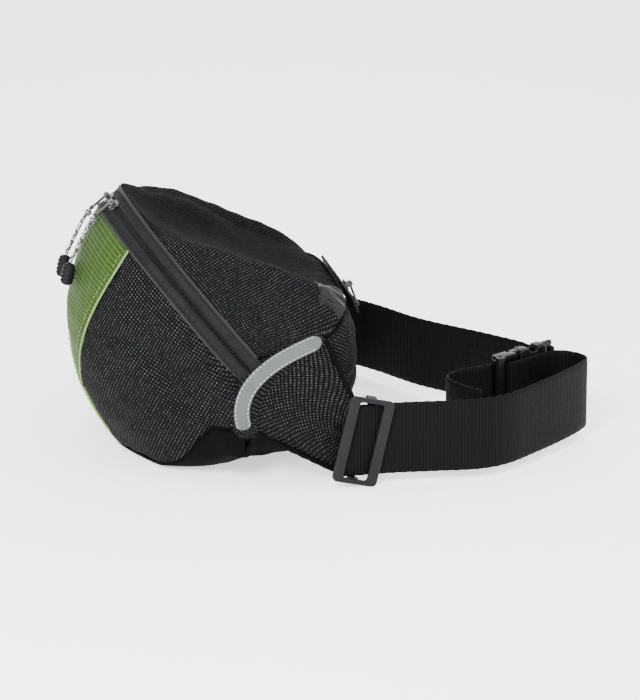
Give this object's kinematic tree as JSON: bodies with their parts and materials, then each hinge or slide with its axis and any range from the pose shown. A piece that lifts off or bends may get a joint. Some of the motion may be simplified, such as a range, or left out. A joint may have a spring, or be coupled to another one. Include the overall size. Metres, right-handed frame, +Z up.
{
  "type": "throw rope waist bag",
  "caption": "Waist bag for a throw rope, with a green front panel, dark mesh sides, an arched mouth zipper and a webbing belt with a side-release buckle.",
  "frame": {"origin": "on the floor under the bag, in the middle of its width", "axes": "+Z up, -X towards the green front panel, +X towards the belt loop, -Y towards the wing with the tri-glide"},
  "size_m": [0.3479, 0.2409, 0.1729],
  "materials": {
    "ripstop_green": "ribbed ripstop weave",
    "fleck_mesh": "open mesh with light flecks",
    "plain_fabric": "plain weave",
    "reflective_tape": "grey reflective tape, stitched",
    "zipper_tape": "coated zipper tape",
    "zipper_coil": "nylon coil",
    "slider_metal": "black lacquer, worn",
    "fleck_cord": "braided, black with light flecks",
    "grip_rubber": "moulded",
    "webbing": "ribbed nylon webbing",
    "buckle_plastic": "moulded acetal",
    "glide_plastic": "satin moulded acetal",
    "rope": "floating braided rope",
    "foam": "closed-cell foam"
  },
  "bodies": {
    "root": {"front_panel": "ripstop_green", "side_panel_near": "fleck_mesh", "side_panel_far": "fleck_mesh", "bottom_panel": "plain_fabric", "lid_panel": "fleck_mesh", "back_panel": "plain_fabric", "wing_near": "fleck_mesh", "wing_far": "fleck_mesh", "reflective_strip_near": "reflective_tape", "reflective_strip_far": "reflective_tape", "zipper_tape_lower": "zipper_tape", "zipper_tape_upper": "zipper_tape", "zipper_coil": "zipper_coil", "pocket_zipper": "zipper_tape", "rope": "rope", "float_core": "foam", "belt_near": "webbing", "belt_bend": "webbing", "belt_end": "webbing", "belt_return": "webbing", "belt_far": "webbing", "belt_far_end": "webbing", "buckle_female": "buckle_plastic"},
    "slider_near": {"zipper_slider_near": "slider_metal"},
    "slider_far": {"zipper_slider_far": "slider_metal"},
    "pull_near": {"pull_tab_near": "slider_metal", "pull_cord_near": "fleck_cord", "pull_grip_near": "grip_rubber"},
    "pull_far": {"pull_tab_far": "slider_metal", "pull_cord_far": "fleck_cord", "pull_grip_far": "grip_rubber"},
    "pocket_runner": {"pocket_slider": "slider_metal"},
    "pocket_tab": {"pocket_pull": "slider_metal"},
    "glide": {"triglide": "glide_plastic"},
    "male": {"buckle_male": "buckle_plastic", "belt_threaded": "webbing"},
    "prong_up": {"buckle_prong_upper": "buckle_plastic"},
    "prong_low": {"buckle_prong_lower": "buckle_plastic"}
  },
  "joints": [
    {"name": "slider_near_travel", "type": "hinge", "parent": "root", "child": "slider_near", "pos_m": [0.00165, 0, 0.08768], "axis": [0.7804, 0, 0.6252], "range_deg": [0, 80]},
    {"name": "slider_far_travel", "type": "hinge", "parent": "root", "child": "slider_far", "pos_m": [0.00165, 0, 0.08768], "axis": [0.7804, 0, 0.6252], "range_deg": [-80, 0]},
    {"name": "pull_near_swing", "type": "hinge", "parent": "slider_near", "child": "pull_near", "pos_m": [-0.064, -0.00919, 0.16962], "axis": [0.0545, -0.9962, -0.068], "range_deg": [-110, 0]},
    {"name": "pull_far_swing", "type": "hinge", "parent": "slider_far", "child": "pull_far", "pos_m": [-0.064, 0.00919, 0.16962], "axis": [-0.0545, -0.9962, 0.068], "range_deg": [-110, 0]},
    {"name": "pocket_travel", "type": "slide", "parent": "root", "child": "pocket_runner", "axis": [0, 1, 0], "range_m": [-0.036, 0.048]},
    {"name": "pocket_pull_swing", "type": "hinge", "parent": "pocket_runner", "child": "pocket_tab", "pos_m": [0.09557, -0.006, 0.10338], "axis": [0, 1, 0], "range_deg": [-100, 0]},
    {"name": "glide_travel", "type": "slide", "parent": "root", "child": "glide", "axis": [1, 0, 0], "range_m": [0, 0.009]},
    {"name": "buckle_release", "type": "slide", "parent": "root", "child": "male", "axis": [-0.866, -0.5, 0], "range_m": [0, 0.02]},
    {"name": "prong_upper_press", "type": "hinge", "parent": "male", "child": "prong_up", "pos_m": [0.20504, -0.03285, 0.0465], "axis": [-0.5, 0.866, 0], "range_deg": [0, 7], "stiffness_Nm_per_rad": 0.05},
    {"name": "prong_lower_press", "type": "hinge", "parent": "male", "child": "prong_low", "pos_m": [0.20504, -0.03285, 0.0145], "axis": [0.5, -0.866, 0], "range_deg": [0, 7], "stiffness_Nm_per_rad": 0.05}
  ]
}
